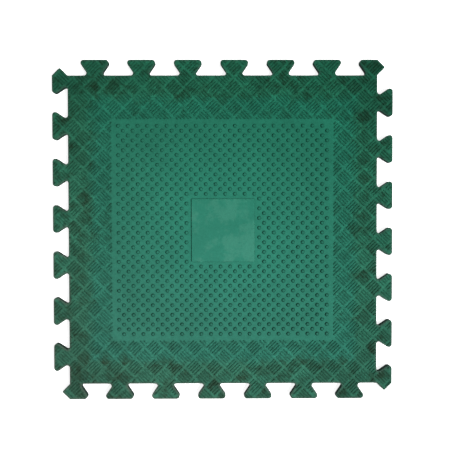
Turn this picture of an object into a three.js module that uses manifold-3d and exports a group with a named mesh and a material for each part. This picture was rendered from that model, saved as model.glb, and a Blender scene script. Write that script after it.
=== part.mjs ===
// A green foam rubber scraper mat: one moulded square tile with dovetail lugs on all four sides,
// a softened upper rim, a raised square panel in the middle and a field of pimples round it.
// Millimetres, +Z up. The origin is at the centre of the underside.
// Lugs run clockwise round the mat, seen from above, and each side is the last one turned a quarter.

import * as THREE from 'three';
import { mergeVertices } from 'three/addons/utils/BufferGeometryUtils.js';
import Module from 'manifold-3d';

// Driving dimensions
const tileModule = 1000;      // centre to centre of two joined tiles
const sheetThickness = 17;    // underside to the plain upper face
const reliefHeight = 3;       // the panel, like the pimples round it, stands this far above the face

const lugsPerSide = 7;
const lugReach = 48;          // notch floor to lug tip
const lugTipWidth = 104;      // across a lug's tip, between its sharp corners
const jointGap = 0.6;         // left between two joined tiles, all along the joint
const tipRadius = 10;         // rounding of a lug's two tip corners
const notchRadius = 7;        // rounding of a notch's two floor corners
const cornerTipRadius = 3;    // rounding where a corner lug's tip meets its 45 degree cut
const cornerPointRadius = 4;  // rounding of a corner lug's point
const cornerNotchRadius = 1;  // rounding of the crease where a corner lug leaves the body
const rimRadius = 2;          // softening of the upper edge, all round

const panelSide = 194;
const panelCornerRadius = 3;
const panelBevel = 1.2;       // slope of the panel's upper edge

const pimpleFieldSide = 642;  // first to last row of pimples, centre to centre
const pimpleRowGap = 14.93;   // from row to row; neighbours in a row stand two gaps apart
const pimpleRadius = 7.5;     // centre to the corners of a pimple's foot

// Fineness of the round stretches
const cornerSteps = 4;
const rimSteps = 1;           // 1 draws the rounding as a bevel
const pimpleSides = 4;
const leastRadius = 0.4;      // a rounding is never drawn sharper than this

const pitch = tileModule / lugsPerSide;
const quarterTurn = Math.PI / 2;

const rubber = new THREE.MeshStandardMaterial({ color: 0x2b6d5a, roughness: 0.75, metalness: 0 });

// The joint line along the far side, from left to right. It is the line that two tiles share, so a
// lug's neck is as wide as the mouth of the notch it goes into. The lugs sit a quarter pitch to the
// right of even spacing, so that those of a neighbour, turned half round, fall into the notches.
function sideCorners() {
  const floor = (tileModule - lugReach) / 2;
  const tip = (tileModule + lugReach) / 2;
  const halfTip = lugTipWidth / 2;
  const halfNeck = (pitch - lugTipWidth) / 2;
  const corners = [];
  for (let i = 0; i < lugsPerSide; i++) {
    const centre = (i - (lugsPerSide - 1) / 2 + 1 / 4) * pitch;
    corners.push({ x: centre - halfNeck, y: floor, radius: notchRadius });
    corners.push({ x: centre - halfTip, y: tip, radius: tipRadius });
    if (i < lugsPerSide - 1) {
      corners.push({ x: centre + halfTip, y: tip, radius: tipRadius });
      corners.push({ x: centre + halfNeck, y: floor, radius: notchRadius });
    }
  }
  // The last lug is a corner lug, cut at 45 degrees so that four tiles meet at one point.
  corners.push({ x: floor, y: tip, radius: cornerTipRadius });
  corners.push({ x: tileModule / 2, y: tileModule / 2, radius: cornerPointRadius });
  corners.push({ x: floor, y: floor, radius: cornerNotchRadius });
  return corners;
}

// All four sides of the joint line, clockwise from above.
function jointCorners() {
  const corners = [];
  for (let turn = 0; turn < 4; turn++) {
    for (const { x, y, radius } of sideCorners()) {
      const point = new THREE.Vector2(x, y).rotateAround(new THREE.Vector2(), -turn * quarterTurn);
      corners.push({ point, radius });
    }
  }
  return corners;
}

// Where the two lines through a corner meet once both have moved inwards by the same distance.
function insetPoint(before, point, after, inset) {
  const incoming = point.clone().sub(before).normalize();
  const outgoing = after.clone().sub(point).normalize();
  const inwardIn = new THREE.Vector2(incoming.y, -incoming.x);
  const inwardOut = new THREE.Vector2(outgoing.y, -outgoing.x);
  const bisector = inwardIn.clone().add(inwardOut).normalize();
  return point.clone().addScaledVector(bisector, inset / bisector.dot(inwardIn));
}

// The mat's outline drawn in from the joint line by a distance, with its corners rounded. An outer
// corner's rounding shrinks as the outline moves in, and an inner corner's grows.
function outline(inset) {
  const corners = jointCorners();
  const count = corners.length;
  const at = (i) => corners[(i + count) % count];
  const moved = corners.map((corner, i) =>
    insetPoint(at(i - 1).point, corner.point, at(i + 1).point, inset));
  const points = [];
  for (let i = 0; i < count; i++) {
    const corner = moved[i];
    const toBefore = moved[(i + count - 1) % count].clone().sub(corner);
    const toAfter = moved[(i + 1) % count].clone().sub(corner);
    const halfAngle = Math.acos(toBefore.dot(toAfter) / (toBefore.length() * toAfter.length())) / 2;
    const outer = toBefore.cross(toAfter) > 0;
    const wanted = Math.max(at(i).radius + (outer ? -inset : inset), leastRadius);
    const room = Math.min(toBefore.length(), toAfter.length()) * 0.45;
    const radius = Math.min(wanted, room * Math.tan(halfAngle));
    const bisector = toBefore.clone().normalize().add(toAfter.clone().normalize()).normalize();
    const centre = corner.clone().addScaledVector(bisector, radius / Math.sin(halfAngle));
    const start = bisector.clone().negate().angle();
    const sweep = (outer ? -1 : 1) * (Math.PI - 2 * halfAngle);
    for (let step = 0; step <= cornerSteps; step++) {
      const angle = start + sweep * (step / cornerSteps - 1 / 2);
      points.push(new THREE.Vector2(Math.cos(angle), Math.sin(angle)).multiplyScalar(radius).add(centre));
    }
  }
  return points.reverse();
}

// A closed solid through outlines with equally many points, each at its own height, lowest first.
// Peaks stand on its top face, each with a foot outline in that face and a tip above it.
function stackGeometry(levels, peaks) {
  const count = levels[0].points.length;
  const positions = levels.flatMap(({ points, z }) => points.flatMap(({ x, y }) => [x, y, z]));
  const faces = [];
  for (let level = 1; level < levels.length; level++) {
    for (let i = 0; i < count; i++) {
      const next = (i + 1) % count;
      const low = (level - 1) * count;
      const high = level * count;
      faces.push(low + i, low + next, high + next, low + i, high + next, high + i);
    }
  }
  const top = (levels.length - 1) * count;
  const { points, z } = levels.at(-1);
  for (const [a, b, c] of THREE.ShapeUtils.triangulateShape(levels[0].points, [])) faces.push(c, b, a);
  for (const [a, b, c] of THREE.ShapeUtils.triangulateShape(points, peaks.map((peak) => peak.foot))) {
    faces.push(top + a, top + b, top + c);
  }
  for (const { foot } of peaks) positions.push(...foot.flatMap(({ x, y }) => [x, y, z]));
  let first = levels.length * count;
  for (const { foot, tip } of peaks) {
    const last = positions.length / 3;
    positions.push(tip.x, tip.y, tip.z);
    for (let i = 0; i < foot.length; i++) faces.push(first + i, first + (i + 1) % foot.length, last);
    first += foot.length;
  }
  const geometry = new THREE.BufferGeometry();
  geometry.setAttribute('position', new THREE.Float32BufferAttribute(positions, 3));
  geometry.setIndex(faces);
  return geometry;
}

// Where the pimples stand: a draughtboard of rows, left out wherever a pimple would meet the panel.
function pimplePlaces() {
  const gaps = Math.round(pimpleFieldSide / pimpleRowGap);
  const gap = pimpleFieldSide / gaps;
  const clear = panelSide / 2 + pimpleRadius;
  const places = [];
  for (let column = 0; column <= gaps; column++) {
    for (let row = 0; row <= gaps; row++) {
      const x = column * gap - pimpleFieldSide / 2;
      const y = pimpleFieldSide / 2 - row * gap;
      const byThePanel = Math.abs(x) < clear && Math.abs(y) < clear;
      if ((column + row) % 2 === 0 && !byThePanel) places.push(new THREE.Vector2(x, y));
    }
  }
  return places;
}

// One pimple as a low pyramid, anticlockwise from above.
function pimplePeak(place) {
  const foot = [];
  for (let side = 0; side < pimpleSides; side++) {
    const angle = (side / pimpleSides) * 4 * quarterTurn;
    foot.push(new THREE.Vector2(pimpleRadius, 0).rotateAround(new THREE.Vector2(), angle).add(place));
  }
  return { foot, tip: new THREE.Vector3(place.x, place.y, sheetThickness + reliefHeight) };
}

// The sheet with its lugs: an upright wall all round, the softened upper rim, and the pimples.
function sheetGeometry() {
  const edge = jointGap / 2;
  const levels = [{ points: outline(edge), z: 0 }];
  for (let step = 0; step <= rimSteps; step++) {
    const angle = (step / rimSteps) * quarterTurn;
    const inset = edge + rimRadius * (1 - Math.cos(angle));
    levels.push({ points: outline(inset), z: sheetThickness - rimRadius * (1 - Math.sin(angle)) });
  }
  return stackGeometry(levels, pimplePlaces().map(pimplePeak));
}

// The raised panel, with its foot inside the sheet.
function panelGeometry() {
  const half = panelSide / 2;
  const flat = half - panelCornerRadius;
  const shape = new THREE.Shape();
  shape.absarc(flat, flat, panelCornerRadius, 0, quarterTurn);
  shape.absarc(-flat, flat, panelCornerRadius, quarterTurn, 2 * quarterTurn);
  shape.absarc(-flat, -flat, panelCornerRadius, 2 * quarterTurn, 3 * quarterTurn);
  shape.absarc(flat, -flat, panelCornerRadius, 3 * quarterTurn, 4 * quarterTurn);
  const foot = sheetThickness / 2;
  const geometry = new THREE.ExtrudeGeometry(shape, {
    depth: foot + reliefHeight - 2 * panelBevel,
    curveSegments: cornerSteps,
    bevelThickness: panelBevel,
    bevelSize: panelBevel,
    bevelOffset: -panelBevel,
    bevelSegments: 1,
  });
  return geometry.translate(0, 0, sheetThickness - foot + panelBevel);
}

const wasm = await Module();
wasm.setup();

// A solid from a closed mesh, and a mesh back from a solid.
function solidFrom(geometry) {
  const bare = geometry.clone();
  bare.deleteAttribute('normal');
  bare.deleteAttribute('uv');
  const merged = mergeVertices(bare, 1e-3);
  return new wasm.Manifold(new wasm.Mesh({
    numProp: 3,
    vertProperties: new Float32Array(merged.attributes.position.array),
    triVerts: new Uint32Array(merged.index.array),
  }));
}

function geometryFrom(solid) {
  const { vertProperties, triVerts } = solid.getMesh();
  const geometry = new THREE.BufferGeometry();
  geometry.setAttribute('position', new THREE.BufferAttribute(vertProperties, 3));
  geometry.setIndex(new THREE.BufferAttribute(triVerts, 1));
  geometry.computeVertexNormals();
  return geometry;
}

function scraperMat() {
  const solid = solidFrom(sheetGeometry()).add(solidFrom(panelGeometry()));
  const mesh = new THREE.Mesh(geometryFrom(solid), rubber);
  mesh.name = 'scraper_mat';
  return mesh;
}

const mat = new THREE.Group();
mat.add(scraperMat());

export default mat;
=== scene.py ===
# %% [markdown]
# # A foam rubber scraper mat
# This lesson dresses the plain solid of a joinable floor mat: a square sheet of moulded foam rubber
# with dovetail lugs on all four sides. The solid comes in as a fixed frame, in metres, and every
# piece made here sits on it at its real place and size.

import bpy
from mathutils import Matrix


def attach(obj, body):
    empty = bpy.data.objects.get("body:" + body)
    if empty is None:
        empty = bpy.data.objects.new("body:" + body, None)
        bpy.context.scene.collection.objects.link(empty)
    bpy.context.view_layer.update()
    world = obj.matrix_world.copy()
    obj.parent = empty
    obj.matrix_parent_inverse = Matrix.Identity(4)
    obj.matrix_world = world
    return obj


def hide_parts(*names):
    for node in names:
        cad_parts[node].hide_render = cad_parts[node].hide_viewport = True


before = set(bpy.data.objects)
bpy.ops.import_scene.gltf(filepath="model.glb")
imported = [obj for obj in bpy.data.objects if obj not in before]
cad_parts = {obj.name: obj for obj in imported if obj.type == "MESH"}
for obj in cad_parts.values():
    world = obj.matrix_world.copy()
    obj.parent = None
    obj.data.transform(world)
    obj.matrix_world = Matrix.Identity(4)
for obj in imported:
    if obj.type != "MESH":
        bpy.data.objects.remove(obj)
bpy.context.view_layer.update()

# %% Modules
import math
from types import SimpleNamespace

import bmesh
import bpy
import numpy as np
from mathutils import Matrix, Vector

print("Blender", bpy.app.version_string)

# %% [markdown]
# ## Sizes
# A mould maker thinks in millimetres and Blender in metres, so every size is written in millimetres
# times one factor. The sizes of the sheet are those of the solid.

# %% Sizes of the sheet
MM = 0.001
TILE = 1000 * MM            # centre to centre of two joined tiles
SHEET = 17 * MM             # underside to the plain upper face
RELIEF = 3 * MM             # panel and pimples above the face
LUGS = 7                    # on each side
REACH = 48 * MM             # notch floor to lug tip
TIP_WIDTH = 104 * MM
JOINT_EDGE = 0.3 * MM       # half the gap between two joined tiles
RIM = 2 * MM                # rounding of the upper edge
FIELD_EDGE = 342 * MM       # from the middle of the mat to where the ribs begin
PITCH = TILE / LUGS
print("pitch of the lugs in mm:", round(PITCH / MM, 2))

# %% [markdown]
# ## The outline
# One side of the joint line is a row of lugs, and the next side is the same row after a quarter
# turn. Each corner is stored with the radius of its rounding. The outline is then drawn in by any
# distance, which gives the wall, the rounded rim and the line where the ribs stop.

# %% Corners of the joint line
NOTCH_ROUND = 7 * MM
TIP_ROUND = 10 * MM
CORNER_TIP_ROUND = 3 * MM   # where a corner lug's tip meets its slanting cut
CORNER_POINT_ROUND = 4 * MM
CREASE_ROUND = 1 * MM       # where a corner lug leaves the body


def side_corners():
    floor = (TILE - REACH) / 2
    tip = (TILE + REACH) / 2
    half_neck = (PITCH - TIP_WIDTH) / 2
    half_tip = TIP_WIDTH / 2
    corners = []
    for i in range(LUGS):
        centre = (i - (LUGS - 1) / 2 + 1 / 4) * PITCH
        corners.append((centre - half_neck, floor, NOTCH_ROUND))
        corners.append((centre - half_tip, tip, TIP_ROUND))
        if i < LUGS - 1:
            corners.append((centre + half_tip, tip, TIP_ROUND))
            corners.append((centre + half_neck, floor, NOTCH_ROUND))
    corners.append((floor, tip, CORNER_TIP_ROUND))
    corners.append((TILE / 2, TILE / 2, CORNER_POINT_ROUND))
    corners.append((floor, floor, CREASE_ROUND))
    return corners


def joint_corners():
    corners = []
    for turn in range(4):
        spin = Matrix.Rotation(-turn * math.pi / 2, 2)
        for x, y, radius in side_corners():
            corners.append((spin @ Vector((x, y)), radius))
    return corners


print("corners of the joint line:", len(joint_corners()))

# %% The outline, drawn in and rounded
LEAST_ROUND = 0.4 * MM
MOST_OF_SIDE = 0.45         # a rounding takes at most this share of the shorter side beside it


def inset_corner(before, point, after, inset):
    coming = (point - before).normalized()
    going = (after - point).normalized()
    inward = Vector((coming.y, -coming.x))
    bisector = (inward + Vector((going.y, -going.x))).normalized()
    return point + bisector * (inset / bisector.dot(inward))


def outline(inset, steps):
    corners = joint_corners()
    count = len(corners)
    moved = [
        inset_corner(corners[i - 1][0], corners[i][0], corners[(i + 1) % count][0], inset)
        for i in range(count)
    ]
    points = []
    for i in range(count):
        before = moved[i - 1] - moved[i]
        after = moved[(i + 1) % count] - moved[i]
        half = before.angle(after) / 2
        outer = before.x * after.y - before.y * after.x > 0
        wanted = max(corners[i][1] + (-inset if outer else inset), LEAST_ROUND)
        room = min(before.length, after.length) * MOST_OF_SIDE
        radius = min(wanted, room * math.tan(half))
        bisector = (before.normalized() + after.normalized()).normalized()
        centre = moved[i] + bisector * (radius / math.sin(half))
        start = math.atan2(-bisector.y, -bisector.x)
        sweep = (-1 if outer else 1) * (math.pi - 2 * half)
        for step in range(steps + 1):
            angle = start + sweep * (step / steps - 0.5)
            points.append(centre + Vector((math.cos(angle), math.sin(angle))) * radius)
    points.reverse()
    return points


CORNER_STEPS = 8
print("points of the outline:", len(outline(JOINT_EDGE, CORNER_STEPS)))

# %% [markdown]
# ## The sheet
# The real mat is one moulding, so its sheet is one closed mesh: outlines at rising heights joined
# by bands of faces. Two more rings on the face carry a number called rim, which is 1 along the edge
# and 0 further in, for a darker, greyer band along the edge in the material.

# %% Helpers for meshes
def object_from(name, bm):
    bmesh.ops.recalc_face_normals(bm, faces=bm.faces)
    mesh = bpy.data.meshes.new(name)
    bm.to_mesh(mesh)
    bm.free()
    piece = bpy.data.objects.new(name, mesh)
    bpy.context.scene.collection.objects.link(piece)
    return piece


def stack_rings(bm, rings):
    rows = [[bm.verts.new((p.x, p.y, z)) for p in points] for points, z in rings]
    for low, high in zip(rows, rows[1:]):
        for i in range(len(low)):
            j = (i + 1) % len(low)
            bm.faces.new((low[i], low[j], high[j], high[i]))
    bm.faces.new(list(reversed(rows[0])))
    bm.faces.new(rows[-1])
    return rows


def count_triangles(piece):
    piece.data.calc_loop_triangles()
    return len(piece.data.loop_triangles)


print("mesh helpers ready")

# %% The sheet's mesh
RIM_STEPS = 4
EDGE_BAND_RINGS = (1 * MM, 6 * MM)   # how far the two rings on the face lie inside the rim


def quarter_round(radius):
    for step in range(RIM_STEPS + 1):
        angle = step / RIM_STEPS * math.pi / 2
        yield radius * (1 - math.cos(angle)), radius * (1 - math.sin(angle))


def sheet_rings():
    rings = [(outline(JOINT_EDGE, CORNER_STEPS), 0.0)]
    for inward, below in quarter_round(RIM):
        rings.append((outline(JOINT_EDGE + inward, CORNER_STEPS), SHEET - below))
    for extra in EDGE_BAND_RINGS:
        rings.append((outline(JOINT_EDGE + RIM + extra, CORNER_STEPS), SHEET))
    return rings


def make_sheet():
    bm = bmesh.new()
    rim = bm.verts.layers.float.new("rim")
    rows = stack_rings(bm, sheet_rings())
    for row in rows[:-1]:
        for vert in row:
            vert[rim] = 1.0
    return object_from("mat_sheet", bm)


sheet = make_sheet()
print("sheet triangles:", count_triangles(sheet))

# %% [markdown]
# ## The raised panel
# The plain square in the middle is a low block with round corners and a soft edge. It is made the
# same way, from rounded squares at rising heights, and a boolean joins it to the sheet, so that no
# face is left inside the rubber.

# %% The panel's mesh
PANEL = 194 * MM
PANEL_CORNER = 3 * MM
PANEL_EDGE = 1.2 * MM       # rounding of the upper edge
PANEL_STEPS = 6
PANEL_RING = 0.5 * MM       # from the rounding to one more ring, which keeps the shading flat


def rounded_square(inset):
    half = PANEL / 2 - inset
    radius = PANEL_CORNER - inset
    points = []
    for turn in range(4):
        spin = Matrix.Rotation(turn * math.pi / 2, 2)
        for step in range(PANEL_STEPS + 1):
            angle = step / PANEL_STEPS * math.pi / 2
            corner = Vector((half - radius, half - radius))
            points.append(spin @ (corner + Vector((math.cos(angle), math.sin(angle))) * radius))
    return points


def make_panel():
    bm = bmesh.new()
    top = SHEET + RELIEF
    rings = [(rounded_square(0.0), SHEET / 2)]
    for inward, below in quarter_round(PANEL_EDGE):
        rings.append((rounded_square(inward), top - below))
    rings.append((rounded_square(PANEL_EDGE + PANEL_RING), top))
    stack_rings(bm, rings)
    return object_from("panel_block", bm)


panel_block = make_panel()
print("panel triangles:", count_triangles(panel_block))

# %% The panel joined to the sheet
SHARP_ANGLE = math.radians(50)


def plain_mesh(piece):
    bpy.context.view_layer.update()
    depsgraph = bpy.context.evaluated_depsgraph_get()
    return bpy.data.meshes.new_from_object(piece.evaluated_get(depsgraph))


def join_solid(piece, block):
    boolean = piece.modifiers.new("join", "BOOLEAN")
    boolean.operation = "UNION"
    boolean.solver = "EXACT"
    boolean.object = block
    mesh = plain_mesh(piece)
    piece.modifiers.remove(boolean)
    piece.data = mesh
    bpy.data.objects.remove(block)


def clear_rim_inside(piece, half):
    rim = piece.data.attributes["rim"].data
    for vert, number in zip(piece.data.vertices, rim):
        if max(abs(vert.co.x), abs(vert.co.y)) < half:
            number.value = 0.0


join_solid(sheet, panel_block)
clear_rim_inside(sheet, PANEL)
sheet.data.shade_smooth()
sheet.data.set_sharp_from_angle(angle=SHARP_ANGLE)
print("sheet with panel, triangles:", count_triangles(sheet))

# %% [markdown]
# ## Materials as sums
# A shader tree is easier to read as arithmetic. The class below wraps a socket, and its operators
# add Math nodes. Any other node comes from one method, which takes the node's type, its settings
# and what goes into its sockets.

# %% The socket class
class Value:
    def __init__(self, tree, socket):
        self.tree = tree
        self.socket = socket

    def node(self, kind, settings=None, sockets=None, out=0):
        made = self.tree.nodes.new(kind)
        for name, setting in (settings or {}).items():
            setattr(made, name, setting)
        for name, given in (sockets or {}).items():
            if isinstance(given, Value):
                self.tree.links.new(given.socket, made.inputs[name])
            else:
                made.inputs[name].default_value = given
        return Value(self.tree, made.outputs[out])

    def maths(self, operation, *given, clamp=False):
        settings = {"operation": operation, "use_clamp": clamp}
        return self.node("ShaderNodeMath", settings, dict(enumerate(given)))

    def __add__(self, other):
        return self.maths("ADD", self, other)

    def __radd__(self, other):
        return self.maths("ADD", other, self)

    def __sub__(self, other):
        return self.maths("SUBTRACT", self, other)

    def __rsub__(self, other):
        return self.maths("SUBTRACT", other, self)

    def __mul__(self, other):
        return self.maths("MULTIPLY", self, other)

    def __rmul__(self, other):
        return self.maths("MULTIPLY", other, self)

    def __truediv__(self, other):
        return self.maths("DIVIDE", self, other)

    def __rtruediv__(self, other):
        return self.maths("DIVIDE", other, self)

    def __abs__(self):
        return self.maths("ABSOLUTE", self)

    def clamp(self):
        return self.maths("ADD", self, 0.0, clamp=True)

    def larger(self, other):
        return self.maths("MAXIMUM", self, other)

    def between(self, low, high):
        settings = {"interpolation_type": "SMOOTHSTEP"}
        sockets = {"Value": self, "From Min": low, "From Max": high}
        return self.node("ShaderNodeMapRange", settings, sockets)

    def noise(self, scale, detail, rough):
        sockets = {"Vector": self, "Scale": scale, "Detail": detail, "Roughness": rough}
        return self.node("ShaderNodeTexNoise", {}, sockets)

    def mix(self, low, high):
        return self.node("ShaderNodeMix", {"data_type": "RGBA"}, {0: self, 6: low, 7: high}, 2)

    def tinted(self, tint):
        settings = {"data_type": "RGBA", "blend_type": "MULTIPLY"}
        return self.node("ShaderNodeMix", settings, {0: 1.0, 6: self, 7: tint}, 2)

    def grey(self):
        return self.node("ShaderNodeCombineColor", {}, {"Red": self, "Green": self, "Blue": self})

    def axes(self):
        parts = self.node("ShaderNodeSeparateXYZ", {}, {"Vector": self}).socket.node
        return [Value(self.tree, parts.outputs[name]) for name in "XYZ"]


print("socket class ready")

# %% Helpers for materials
def new_material(name):
    material = bpy.data.materials.new(name)
    material.use_nodes = True
    tree = material.node_tree
    tree.nodes.clear()
    output = tree.nodes.new("ShaderNodeOutputMaterial")
    shader = tree.nodes.new("ShaderNodeBsdfPrincipled")
    tree.links.new(shader.outputs[0], output.inputs["Surface"])
    place = Value(tree, tree.nodes.new("ShaderNodeTexCoord").outputs["Object"])
    return material, shader, place


def feed(shader, name, value):
    value.tree.links.new(value.socket, shader.inputs[name])


print("material helpers ready")

# %% [markdown]
# ## The rubber
# Moulded foam rubber is matt and finely grained. Its colour is not even: the field is a clean sea
# green, the border is dustier and browner, and blotches run across both. The upright walls are
# painted near black as painted shade, and the underside is plain.

# %% Colours of the rubber
LIGHT = 1.2                 # the light on a level face, which the colours are set against
CENTRE_GREEN = (0.0249, 0.220, 0.152)
FIELD_GREEN = (0.0228, 0.184, 0.125)
BORDER_GREEN = (0.0216, 0.180, 0.121)
STRIP_GREEN = (0.0250, 0.163, 0.102)
PANEL_PALE = (0.050, 0.256, 0.184)
BROWN_STAIN = (0.016, 0.054, 0.030)
EDGE_BAND_COLOUR = (0.042, 0.110, 0.080)
# painted shade: the upright walls are coloured near black
WALL_SHADE_GREEN = (0.006, 0.022, 0.016)
UNDER_GREEN = (0.017, 0.118, 0.079)
UNDER_DARK = (0.012, 0.078, 0.052)

# Tints that run across the whole mat, from one side to the other
FAR_TINT = (0.433, 0.84, 0.75, 1)
NEAR_TINT = (1.115, 1.06, 1.10, 1)
LEFT_TINT = (1.75, 1.04, 1.055, 1)
RIGHT_TINT = (1.10, 0.95, 0.94, 1)


def paint(colour):
    return (*[channel / LIGHT for channel in colour], 1)


print("centre of the field:", paint(CENTRE_GREEN))

# %% The cells of the weave, as masks
WEAVE = 61.64 * MM          # from cell to cell of the same slant
WEAVE_X = 3.70 * MM         # the middle of one cell
WEAVE_Y = 37.41 * MM
CELL_EDGE = (0.78, 0.94)    # where a cell fades out, from its middle at 0 to its side at 1


def weave_cells(x, y):
    u = (x - WEAVE_X + y - WEAVE_Y) / WEAVE + 0.5
    v = (y - WEAVE_Y - x + WEAVE_X) / WEAVE + 0.5
    column = u.maths("FLOOR", u)
    row = v.maths("FLOOR", v)
    reach = abs(u - column - 0.5).larger(abs(v - row - 0.5)) * 2
    index = u.node("ShaderNodeCombineXYZ", {}, {"X": column, "Y": row})
    chance = u.node("ShaderNodeTexWhiteNoise", {"noise_dimensions": "2D"}, {"Vector": index})
    return 1 - reach.between(*CELL_EDGE), chance


print("side of a cell in mm:", round(WEAVE / math.sqrt(2) / MM, 2))

# %% [markdown]
# The mat's zones are masks between 0 and 1, worked out from the place of a point. A square distance,
# the larger of its two distances from the middle lines, follows the sides of panel and border.

# %% Zones of the mat
TINT_SPAN = 900 * MM        # over which the tints run
HALF_PANEL = PANEL / 2

# Each mask rises from 0 to 1 between two distances from the middle
PANEL_SIDE = (HALF_PANEL - 0.5 * MM, HALF_PANEL + 0.5 * MM)
# a thin line of painted shade at the foot of the panel
FOOT_SHADE_START = (HALF_PANEL - 1.5 * MM, HALF_PANEL - 0.2 * MM)
FOOT_SHADE_END = (HALF_PANEL + 0.4 * MM, HALF_PANEL + 2 * MM)
BORDER_START = (FIELD_EDGE - 2 * MM, FIELD_EDGE + 4 * MM)
CORNER_START = (480 * MM, 640 * MM)


def mat_zones(place):
    x, y, z = place.axes()
    radius = place.node("ShaderNodeVectorMath", {"operation": "LENGTH"}, {0: place}, 1)
    square = abs(x).larger(abs(y))
    return SimpleNamespace(
        x=x,
        y=y,
        z=z,
        radius=radius,
        square=square,
        border=square.between(*BORDER_START),
        panel=1 - square.between(*PANEL_SIDE),
        seam=square.between(*FOOT_SHADE_START) * (1 - square.between(*FOOT_SHADE_END)),
        corner=radius.between(*CORNER_START),
        nearness=(0.5 - y / TINT_SPAN).clamp(),
        leftness=(0.5 - x / TINT_SPAN).clamp(),
    )


# Each noise is a scale per metre, a detail and a roughness
CLOUD = (5.0, 4.0, 0.6)
SMEAR = (16.0, 5.0, 0.7)
MOTTLE = (30.0, 5.0, 0.65)
GRIT = (110.0, 3.0, 0.7)
SPECK = (300.0, 3.0, 0.6)
GRAIN = (900.0, 2.0, 0.6)
print("zones and noises set")

# %% [markdown]
# The colour goes from a paler middle outwards, and then dirt is laid over it: single cells of the
# weave that hold more of it, stains across them, and browner corners.

# %% Colour of the upper face
MIDDLE_END = (100 * MM, 400 * MM)     # where the paler middle of the field fades out
STRIP_START = (385 * MM, 425 * MM)    # the outer strip of the border, with a wandering edge
STRIP_WANDER = 60 * MM
CELL_RANGE = (0.25, 1.0)              # the draw from which a cell of the weave holds dirt
STAIN_RANGE = (0.46, 0.66)            # the part of the mottled noise that is a stain
WEAR_RANGE = (0.46, 0.60)             # the part of the smeared noise where the panel is worn
CELL_DIRT = 0.12
CELL_DIRT_ON_STRIP = 0.22             # what the strip adds, as in the names below
STAIN_DIRT = 0.08
STAIN_DIRT_ON_BORDER = 0.20
STAIN_DIRT_ON_STRIP = 0.24
CORNER_DIRT = 0.18
PANEL_WEAR = 0.55
EDGE_BAND_AMOUNT = 0.75


def rubber_colour(place, zones, mottle, smear):
    colour = zones.radius.between(*MIDDLE_END).mix(paint(CENTRE_GREEN), paint(FIELD_GREEN))
    colour = zones.border.mix(colour, paint(BORDER_GREEN))
    strip = (zones.square + (mottle - 0.5) * STRIP_WANDER).between(*STRIP_START)
    colour = strip.mix(colour, paint(STRIP_GREEN))
    inside, chance = weave_cells(zones.x, zones.y)
    held = CELL_DIRT + strip * CELL_DIRT_ON_STRIP
    cell_dirt = inside * zones.border * chance.between(*CELL_RANGE) * held
    laid = STAIN_DIRT + zones.border * STAIN_DIRT_ON_BORDER + strip * STAIN_DIRT_ON_STRIP
    stain = mottle.between(*STAIN_RANGE) * laid
    dirt = cell_dirt + stain + strip * zones.corner * CORNER_DIRT
    colour = dirt.clamp().mix(colour, paint(BROWN_STAIN))
    worn = zones.panel * smear.between(*WEAR_RANGE)
    colour = (worn * PANEL_WEAR).mix(colour, paint(PANEL_PALE))
    rim = place.node("ShaderNodeAttribute", {"attribute_name": "rim"}, {}, 2)
    colour = (rim * EDGE_BAND_AMOUNT).mix(colour, paint(EDGE_BAND_COLOUR))
    colour = colour.tinted(zones.nearness.mix(FAR_TINT, NEAR_TINT))
    return colour.tinted(zones.leftness.mix(RIGHT_TINT, LEFT_TINT))


print("the middle of the field fades out at mm:", [round(r / MM) for r in MIDDLE_END])

# %% [markdown]
# Painted shade darkens the lower flanks of the pimples, more towards the near and right sides, the
# ribs of the border and a thin line at the foot of the panel. The same sum takes in the unevenness
# of the foam at every scale.

# %% Painted shade in the relief, and unevenness
FLANK_START = (SHEET + 0.2 * MM, SHEET + 0.9 * MM)
FLANK_END = (SHEET + 2 * MM, SHEET + 3.25 * MM)
FLANK_SHADE = 0.30
FLANK_SHADE_NEAR = 0.30     # what the near side of the mat adds, then the right side and a cloud
FLANK_SHADE_RIGHT = 0.12
FLANK_SHADE_CLOUD = 0.20
# painted shade that darkens the ribs of the border and lugs
RIB_SHADE = 0.33
FOOT_SHADE = 0.16
CORNER_SHADE = 0.12
CLOUD_AMOUNT = 0.24         # how uneven each noise makes the surface, and what a zone adds to it
SPECK_AMOUNT = 0.40
SPECK_ON_BORDER = 0.70
GRIT_AMOUNT = 0.48
GRIT_ON_BORDER = 0.90
GRIT_OFF_PANEL = 0.20
SMEAR_AMOUNT = 0.35
SMEAR_ON_BORDER = 0.45


def uneven(noise, amount):
    return 1 + (noise - 0.5) * amount


# painted shade of the relief, times the unevenness of the foam
def painted_shade_and_unevenness(place, zones, speck, smear):
    cloud = place.noise(*CLOUD)
    grit = place.noise(*GRIT)
    above = zones.z.between(*FLANK_START)
    # painted shade on the lower flanks of the pimples
    flank = above * (1 - zones.z.between(*FLANK_END))
    flank = flank * (1 - zones.border) * (1 - zones.panel)
    flank_shade = FLANK_SHADE + FLANK_SHADE_NEAR * zones.nearness
    flank_shade = flank_shade + FLANK_SHADE_RIGHT * (1 - zones.leftness) + FLANK_SHADE_CLOUD * cloud
    shade = 1 - flank * flank_shade - above * zones.border * RIB_SHADE - zones.seam * FOOT_SHADE
    shade = shade * (1 - zones.corner * CORNER_SHADE) * uneven(cloud, CLOUD_AMOUNT)
    shade = shade * uneven(speck, SPECK_AMOUNT + zones.border * SPECK_ON_BORDER)
    grit_amount = GRIT_AMOUNT + zones.border * GRIT_ON_BORDER - zones.panel * GRIT_OFF_PANEL
    shade = shade * uneven(grit, grit_amount)
    return shade * uneven(smear, SMEAR_AMOUNT + zones.border * SMEAR_ON_BORDER)


print("shade of the ribs:", RIB_SHADE)

# %% The rubber's material
GRAIN_HEIGHT = 0.12 * MM
SPECK_HEIGHT = 0.20 * MM
SHINE = 0.05                # foam rubber hardly shines
WALL_SHADE_END = (SHEET - 3 * MM, SHEET - 0.4 * MM)
UNDER_END = (0.1 * MM, 0.8 * MM)


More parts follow.
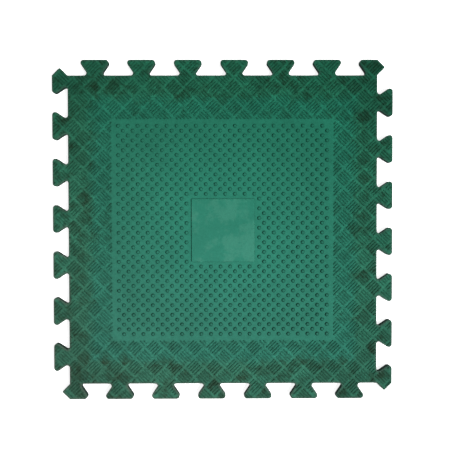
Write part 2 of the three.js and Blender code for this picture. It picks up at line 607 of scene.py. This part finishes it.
def make_rubber():
    material, shader, place = new_material("moulded_rubber")
    zones = mat_zones(place)
    mottle = place.noise(*MOTTLE)
    smear = place.noise(*SMEAR)
    speck = place.noise(*SPECK)
    colour = rubber_colour(place, zones, mottle, smear)
    colour = colour.tinted(painted_shade_and_unevenness(place, zones, speck, smear).grey())
    # painted shade: below the rim the walls turn near black
    wall = 1 - zones.z.between(*WALL_SHADE_END)
    colour = wall.mix(colour, paint(WALL_SHADE_GREEN))
    under = 1 - zones.z.between(*UNDER_END)
    plain_under = (0.3 + 0.7 * mottle).mix(paint(UNDER_DARK), paint(UNDER_GREEN))
    feed(shader, "Base Color", under.mix(colour, plain_under))
    feed(shader, "Roughness", 0.60 + 0.25 * mottle)
    height = place.noise(*GRAIN) * GRAIN_HEIGHT + speck * SPECK_HEIGHT
    bump = place.node("ShaderNodeBump", {}, {"Strength": 0.6, "Distance": 1.0, "Height": height})
    feed(shader, "Normal", bump)
    shader.inputs["Specular IOR Level"].default_value = SHINE
    return material


rubber = make_rubber()
sheet.data.materials.clear()
sheet.data.materials.append(rubber)
print("rubber nodes:", len(rubber.node_tree.nodes))

# %% [markdown]
# ## Geometry Nodes trees
# What repeats is made by Geometry Nodes. A tree gets named inputs for its sizes, and each input is
# set on the modifier by the identifier of its socket. The result is then turned into a plain mesh,
# and the modifier goes.

# %% Helpers for Geometry Nodes
def new_tree(name, inputs):
    tree = bpy.data.node_groups.new(name, "GeometryNodeTree")
    face = tree.interface
    face.new_socket("Geometry", in_out="INPUT", socket_type="NodeSocketGeometry")
    for title, kind in inputs:
        face.new_socket(title, in_out="INPUT", socket_type=kind)
    face.new_socket("Geometry", in_out="OUTPUT", socket_type="NodeSocketGeometry")
    source = tree.nodes.new("NodeGroupInput")
    sink = tree.nodes.new("NodeGroupOutput")
    return tree, Value(tree, source.outputs[0]), sink


def group_input(value, title):
    return Value(value.tree, value.socket.node.outputs[title])


def close_tree(geometry, sink, material):
    real = geometry.node("GeometryNodeRealizeInstances", {}, {"Geometry": geometry})
    dressed = real.node("GeometryNodeSetMaterial", {}, {"Geometry": real, "Material": material})
    geometry.tree.links.new(dressed.socket, sink.inputs[0])


def run_tree(piece, tree, values):
    modifier = piece.modifiers.new("tree", "NODES")
    modifier.node_group = tree
    for item in tree.interface.items_tree:
        if item.item_type == "SOCKET" and item.in_out == "INPUT" and item.name in values:
            modifier[item.identifier] = values[item.name]
    mesh = plain_mesh(piece)
    piece.modifiers.remove(modifier)
    piece.data = mesh
    mesh.name = piece.name


def piece_from_edges(name, points, edges):
    mesh = bpy.data.meshes.new(name)
    mesh.from_pydata(points, edges, [])
    piece = bpy.data.objects.new(name, mesh)
    bpy.context.scene.collection.objects.link(piece)
    return piece


print("tree helpers ready")

# %% [markdown]
# ## The pimples
# The field round the panel carries pimples in a draughtboard lattice, about 15 mm from row to row.
# A single pimple is turned like a knob, from a short profile with a flared foot, and the tree sets
# one on every second point of a grid, outside the panel.

# %% One pimple
PIMPLE_PROFILE = (          # radius and height above the face, in millimetres
    (6.9, -0.30), (6.5, 0.12), (6.0, 0.75), (5.6, 1.60), (4.7, 2.35), (2.8, 2.85),
)
PIMPLE_SIDES = 12


def make_pimple():
    bm = bmesh.new()
    rings = []
    for radius, height in PIMPLE_PROFILE:
        ring = []
        for i in range(PIMPLE_SIDES):
            angle = 2 * math.pi * i / PIMPLE_SIDES
            ring.append(bm.verts.new((
                radius * math.cos(angle) * MM,
                radius * math.sin(angle) * MM,
                height * MM,
            )))
        rings.append(ring)
    top = bm.verts.new((0, 0, RELIEF))
    for low, high in zip(rings, rings[1:]):
        for i in range(PIMPLE_SIDES):
            j = (i + 1) % PIMPLE_SIDES
            bm.faces.new((low[i], low[j], high[j], high[i]))
    for i in range(PIMPLE_SIDES):
        bm.faces.new((rings[-1][i], rings[-1][(i + 1) % PIMPLE_SIDES], top))
    bm.faces.new(list(reversed(rings[0])))
    for face in bm.faces:
        face.smooth = True
    return object_from("pimple_master", bm)


pimple = make_pimple()
print("triangles of one pimple:", count_triangles(pimple))

# %% The tree of the pimples
TURN_SEED = 4
SIZE_SEED = 9
SMALLEST = 0.965            # the smallest pimple, as a part of the full size
HAIR = 0.0001               # keeps a whole number from being rounded down to the one below


def pimple_tree():
    tree, start, sink = new_tree("pimple_field", [
        ("Step", "NodeSocketFloat"),
        ("Rows", "NodeSocketInt"),
        ("Plain Half", "NodeSocketFloat"),
        ("Height", "NodeSocketFloat"),
        ("Pimple", "NodeSocketObject"),
    ])
    rows = group_input(start, "Rows")
    side = group_input(start, "Step") * (rows - 1)
    grid = start.node("GeometryNodeMeshGrid", {}, {
        "Size X": side, "Size Y": side, "Vertices X": rows, "Vertices Y": rows,
    })
    index = start.node("GeometryNodeInputIndex")
    column = start.maths("FLOOR", index / rows + HAIR)
    row = index - column * rows
    odd = start.maths("MODULO", column + row, 2.0)
    x, y = start.node("GeometryNodeInputPosition").axes()[:2]
    inside = start.maths("LESS_THAN", abs(x).larger(abs(y)), group_input(start, "Plain Half"))
    unwanted = start.maths("GREATER_THAN", (1 - odd) + inside, 0.5)
    kept = start.node("GeometryNodeDeleteGeometry", {"domain": "POINT"}, {
        "Geometry": grid, "Selection": unwanted,
    })
    lift = start.node("ShaderNodeCombineXYZ", {}, {"Z": group_input(start, "Height")})
    lifted = start.node("GeometryNodeSetPosition", {}, {"Geometry": kept, "Offset": lift})
    master = start.node("GeometryNodeObjectInfo", {}, {
        "Object": group_input(start, "Pimple"), "As Instance": True,
    }, "Geometry")
    turn = start.node("FunctionNodeRandomValue", {"data_type": "FLOAT"}, {
        2: 0.0, 3: 2 * math.pi, "Seed": TURN_SEED,
    }, 1)
    spin = start.node("ShaderNodeCombineXYZ", {}, {"Z": turn})
    size = start.node("FunctionNodeRandomValue", {"data_type": "FLOAT"}, {
        2: SMALLEST, 3: 1.0, "Seed": SIZE_SEED,
    }, 1)
    spread = start.node("GeometryNodeInstanceOnPoints", {}, {
        "Points": lifted, "Instance": master, "Rotation": spin, "Scale": size,
    })
    close_tree(spread, sink, rubber)
    return tree


tree = pimple_tree()
print("pimple tree nodes:", len(tree.nodes))

# %% The field of pimples
PIMPLE_ROWS = 44
PIMPLE_STEP = 14.93 * MM
PLAIN_SQUARE = 104 * MM     # half the side of the square that stays free of pimples

pimples = piece_from_edges("pimples", [(0, 0, 0)], [])
run_tree(pimples, tree, {
    "Step": PIMPLE_STEP,
    "Rows": PIMPLE_ROWS,
    "Plain Half": PLAIN_SQUARE,
    "Height": SHEET,
    "Pimple": pimple,
})
bpy.data.objects.remove(pimple)
print("pimples:", count_triangles(pimples), "triangles")

# %% [markdown]
# ## The ribs
# The border and the lugs carry short ribs, five side by side in a square cell, and the cells lie
# in turn along the two diagonals, like a basket weave. The middle line of each rib is worked out
# and cut off at the margin here, and the tree gives it its section and its round ends.

# %% Middle lines of the ribs
RIB_GAP = 8.1 * MM
RIB_LENGTH = 34.5 * MM
RIBS_IN_CELL = 5
CELLS_OUT = 10              # cells counted from the middle one to each side


def rib_lines():
    half = RIB_LENGTH / 2
    counts = range(-CELLS_OUT, CELLS_OUT + 1)
    lines = []
    for column in counts:
        for row in counts:
            for phase, slant in ((0.0, -1), (0.5, 1)):
                along = Vector((1, slant)).normalized()
                across = Vector((-along.y, along.x))
                middle = Vector((WEAVE_X + (column + phase) * WEAVE, WEAVE_Y + (row + phase) * WEAVE))
                for k in range(RIBS_IN_CELL):
                    centre = middle + across * ((k - (RIBS_IN_CELL - 1) / 2) * RIB_GAP)
                    lines.append((centre - along * half, centre + along * half))
    return lines


print("lines before the cut:", len(rib_lines()))

# %% Ribs cut off at the margins
RIB_MARGIN = 5.0 * MM       # from the joint line to the end of a rib
MARGIN_STEPS = 4            # at each corner of the margin line
SHORTEST_RIB = 6 * MM
TINY = 1e-12                # stands for nought where a sum divides by it


def fence_edges():
    fences = [
        outline(RIB_MARGIN, MARGIN_STEPS),
        [Vector(c) * FIELD_EDGE for c in ((1, 1), (-1, 1), (-1, -1), (1, -1))],
    ]
    starts = []
    ends = []
    for fence in fences:
        starts += [tuple(p) for p in fence]
        ends += [tuple(p) for p in fence[1:] + fence[:1]]
    return np.array(starts), np.array(ends)


def crossings(start, end, fence_start, fence_end):
    step = end - start
    side = fence_end - fence_start
    gap = fence_start - start
    area = step[0] * side[:, 1] - step[1] * side[:, 0]
    area = np.where(np.abs(area) < TINY, TINY, area)
    along = (gap[:, 0] * side[:, 1] - gap[:, 1] * side[:, 0]) / area
    across = (gap[:, 0] * step[1] - gap[:, 1] * step[0]) / area
    return np.sort(along[(across >= 0) & (across < 1) & (along > 0) & (along < 1)])


def is_inside(point, fence_start, fence_end):
    above = (fence_start[:, 1] > point[1]) != (fence_end[:, 1] > point[1])
    rise = fence_end[:, 1] - fence_start[:, 1]
    rise = np.where(rise == 0, TINY, rise)
    reach = fence_start[:, 0] + (point[1] - fence_start[:, 1]) * (fence_end - fence_start)[:, 0] / rise
    return np.count_nonzero(above & (reach > point[0])) % 2 == 1


def cut_ribs():
    fence_start, fence_end = fence_edges()
    kept = []
    for a, b in rib_lines():
        start = np.array(a)
        end = np.array(b)
        stops = [0.0, *crossings(start, end, fence_start, fence_end), 1.0]
        for low, high in zip(stops, stops[1:]):
            middle = start + (end - start) * (low + high) / 2
            if (high - low) * RIB_LENGTH < SHORTEST_RIB:
                continue
            if is_inside(middle, fence_start, fence_end):
                kept.append((start + (end - start) * low, start + (end - start) * high))
    return kept


ribs = cut_ribs()
print("ribs:", len(ribs))

# %% The tree of the ribs
RIB_WIDTH = 4.4 * MM
RIB_CROWN = 2.6 * MM
RIB_HEIGHT = 1.5 * MM
RIB_SUNK = 0.3 * MM         # the part of a rib that stands inside the sheet
RIB_FILLET = 0.6 * MM
FILLET_STEPS = 2
END_CLOSED = 0.97           # how far a rib's end draws in, where 1 would be a point


def rib_tree():
    tree, start, sink = new_tree("ribs", [
        ("Foot Width", "NodeSocketFloat"),
        ("Crown Width", "NodeSocketFloat"),
        ("Rise", "NodeSocketFloat"),
        ("Round End", "NodeSocketFloat"),
    ])
    curve = start.node("GeometryNodeMeshToCurve", {}, {"Mesh": start})
    upright = start.node("GeometryNodeSetCurveNormal", {"mode": "Z_UP"}, {"Curve": curve})
    run = start.node("GeometryNodeSplineParameter", {}, {}, "Length")
    whole = start.node("GeometryNodeSplineLength", {}, {}, "Length")
    from_end = start.maths("MINIMUM", run, whole - run)
    part = (from_end / group_input(start, "Round End")).clamp()
    swell = start.maths("SQRT", 1 - (1 - part) * (1 - part) * END_CLOSED)
    shaped = start.node("GeometryNodeSetCurveRadius", {}, {"Curve": upright, "Radius": swell})
    section = start.node("GeometryNodeCurvePrimitiveQuadrilateral", {"mode": "TRAPEZOID"}, {
        "Bottom Width": group_input(start, "Foot Width"),
        "Top Width": group_input(start, "Crown Width"),
        "Height": group_input(start, "Rise"),
        "Offset": 0.0,
    })
    rounded = start.node("GeometryNodeFilletCurve", {"mode": "POLY"}, {
        "Curve": section, "Radius": RIB_FILLET, "Count": FILLET_STEPS, "Limit Radius": True,
    })
    solid = start.node("GeometryNodeCurveToMesh", {}, {
        "Curve": shaped, "Profile Curve": rounded, "Fill Caps": True,
    })
    smooth = start.node("GeometryNodeSetShadeSmooth", {}, {"Geometry": solid})
    close_tree(smooth, sink, rubber)
    return tree


tree = rib_tree()
print("rib tree nodes:", len(tree.nodes))

# %% The ribs, one piece for each side
ROUND_END = RIB_WIDTH / 2
END_STATIONS = (0.0, 0.15, 0.5, 1.0)   # points along a round end, as parts of its length


def rib_stations(length):
    near = [part * ROUND_END for part in END_STATIONS]
    return near + [length - d for d in reversed(near)]


def rib_points(lines, height):
    points = []
    edges = []
    for start, end in lines:
        length = float(np.linalg.norm(end - start))
        first = len(points)
        for run in rib_stations(length):
            x, y = start + (end - start) * (run / length)
            points.append((x, y, height))
        edges += [(i, i + 1) for i in range(first, len(points) - 1)]
    return points, edges


def side_of(line):
    x, y = (line[0] + line[1]) / 2
    if abs(y) >= abs(x):
        return "far" if y > 0 else "near"
    return "right" if x > 0 else "left"


rib_pieces = []
for side in ("far", "right", "near", "left"):
    lines = [line for line in ribs if side_of(line) == side]
    points, edges = rib_points(lines, SHEET - RIB_SUNK + (RIB_HEIGHT + RIB_SUNK) / 2)
    piece = piece_from_edges("ribs_" + side, points, edges)
    run_tree(piece, tree, {
        "Foot Width": RIB_WIDTH,
        "Crown Width": RIB_CROWN,
        "Rise": RIB_HEIGHT + RIB_SUNK,
        "Round End": ROUND_END,
    })
    rib_pieces.append(piece)
    print(piece.name, len(lines), "ribs,", count_triangles(piece), "triangles")

# %% [markdown]
# ## Floor, light and camera
# The mat lies on a plain white floor. One large soft light stands high on the right and a little
# towards the near side, as the shaded sides of the pimples show, and a pale world, white near the
# horizon, fills in the rest. The camera looks straight down from about 1.6 m.

# %% Floor
FLOOR_GAP = 0.3 * MM        # the floor lies just under the mat, so that the two faces don't flicker
FLOOR_HALF = 30.0
FLOOR_WHITE = (0.86, 0.86, 0.86, 1)
FLOOR_GLOW = 0.8            # enough to keep the shadows beside the walls white


def make_floor():
    bm = bmesh.new()
    bmesh.ops.create_grid(bm, x_segments=1, y_segments=1, size=FLOOR_HALF)
    bmesh.ops.translate(bm, verts=bm.verts, vec=(0, 0, -FLOOR_GAP))
    floor = object_from("floor", bm)
    material, shader, place = new_material("white_floor")
    shader.inputs["Base Color"].default_value = FLOOR_WHITE
    shader.inputs["Roughness"].default_value = 0.9
    shader.inputs["Emission Color"].default_value = (1, 1, 1, 1)
    shader.inputs["Emission Strength"].default_value = FLOOR_GLOW
    floor.data.materials.append(material)
    return floor


floor = make_floor()
print("floor made")

# %% Light
KEY_PLACE = Vector((6.6, -2.1, 8.0))
KEY_SIZE = 2.2
KEY_WATTS = 1405


def make_key_light():
    lamp = bpy.data.lights.new("key_light", "AREA")
    lamp.shape = "DISK"
    lamp.size = KEY_SIZE
    lamp.energy = KEY_WATTS
    holder = bpy.data.objects.new("key_light", lamp)
    bpy.context.scene.collection.objects.link(holder)
    holder.location = KEY_PLACE
    holder.rotation_euler = (-KEY_PLACE).to_track_quat("-Z", "Y").to_euler()


make_key_light()
print("key light at", tuple(KEY_PLACE))

# %% World
SKY_DIM = 0.85              # how much darker the world is overhead than at the horizon
SKY_BAND = (0.40, 0.60)     # where it turns darker, as the height of a direction of length 1


def make_world():
    world = bpy.data.worlds.new("pale_room")
    world.use_nodes = True
    tree = world.node_tree
    backdrop = tree.nodes["Background"]
    backdrop.inputs["Color"].default_value = (1, 1, 1, 1)
    direction = Value(tree, tree.nodes.new("ShaderNodeTexCoord").outputs["Generated"])
    rise = direction.axes()[2]
    feed(backdrop, "Strength", 1.0 - SKY_DIM * rise.between(*SKY_BAND))
    return world


bpy.context.scene.world = make_world()
bpy.context.scene.view_settings.view_transform = "Standard"
print("world made")

# %% Camera
CAMERA_PLACE = Vector((-0.00069, 0.04547, 1.62958))
CAMERA_AIM = Vector((0.00844, 0.01398, 0.017))
CAMERA_ROLL = math.radians(0.114)
CAMERA_LENS = 41.84
CAMERA_SHIFT = 0.72 / 450   # about three quarters of a pixel, left and up


def make_camera():
    data = bpy.data.cameras.new("camera")
    data.lens = CAMERA_LENS
    data.sensor_width = 36
    data.shift_x = -CAMERA_SHIFT
    data.shift_y = CAMERA_SHIFT
    camera = bpy.data.objects.new("camera", data)
    bpy.context.scene.collection.objects.link(camera)
    back = (CAMERA_PLACE - CAMERA_AIM).normalized()
    right = Vector((0, 1, 0)).cross(back).normalized()
    turn = Matrix((right, back.cross(right), back)).transposed().to_4x4()
    roll = Matrix.Rotation(-CAMERA_ROLL, 4, "Z")
    camera.matrix_world = Matrix.Translation(CAMERA_PLACE) @ turn @ roll
    return camera


bpy.context.scene.camera = make_camera()
print("camera at", tuple(CAMERA_PLACE))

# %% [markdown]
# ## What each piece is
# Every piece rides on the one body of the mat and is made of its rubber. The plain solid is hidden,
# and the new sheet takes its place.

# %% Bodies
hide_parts("scraper_mat")
for piece in [sheet, pimples, *rib_pieces]:
    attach(piece, "root")
print("pieces:", 2 + len(rib_pieces))
